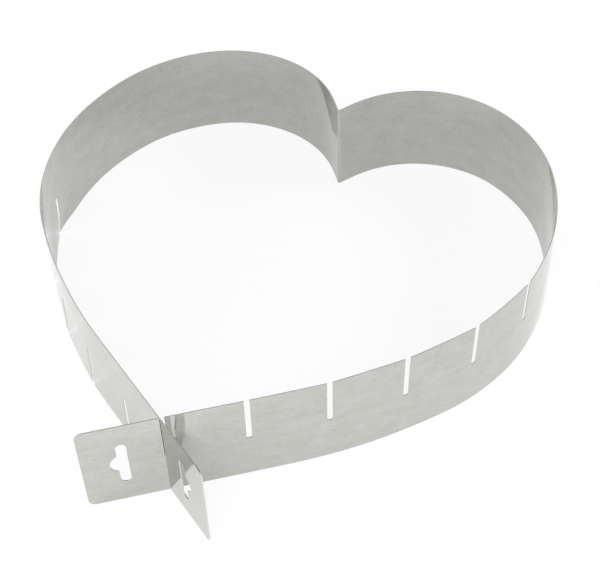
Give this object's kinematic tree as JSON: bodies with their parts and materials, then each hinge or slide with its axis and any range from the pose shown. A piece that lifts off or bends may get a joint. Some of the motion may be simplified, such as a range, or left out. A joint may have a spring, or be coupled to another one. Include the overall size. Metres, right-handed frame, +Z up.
{
  "type": "adjustable heart cake ring",
  "caption": "Open heart-shaped cake ring of thin stainless steel strip, folded at the cleft, with slotted arms that hook through each other at the tip and end in tabs with hang holes.",
  "frame": {"origin": "on the surface that the ring stands on, under the middle of its outer box", "axes": "+Z up along the height of the strip, -Y towards the tip where the arms cross, +X to the right of the tip"},
  "size_m": [0.2528, 0.2676, 0.05],
  "materials": {
    "stainless_steel": "bright cold-rolled sheet with faint lines along the strip"
  },
  "bodies": {
    "band": {"heart_band": "stainless_steel"},
    "arm": {"hook_arm": "stainless_steel"}
  },
  "joints": [
    {"name": "arm_lift", "type": "hinge", "parent": "band", "child": "arm", "pos_m": [-0.10833, 0.10212, 0.018], "axis": [-0.5707, -0.8211, 0], "range_deg": [0, 10], "stiffness_Nm_per_rad": 0.8}
  ]
}
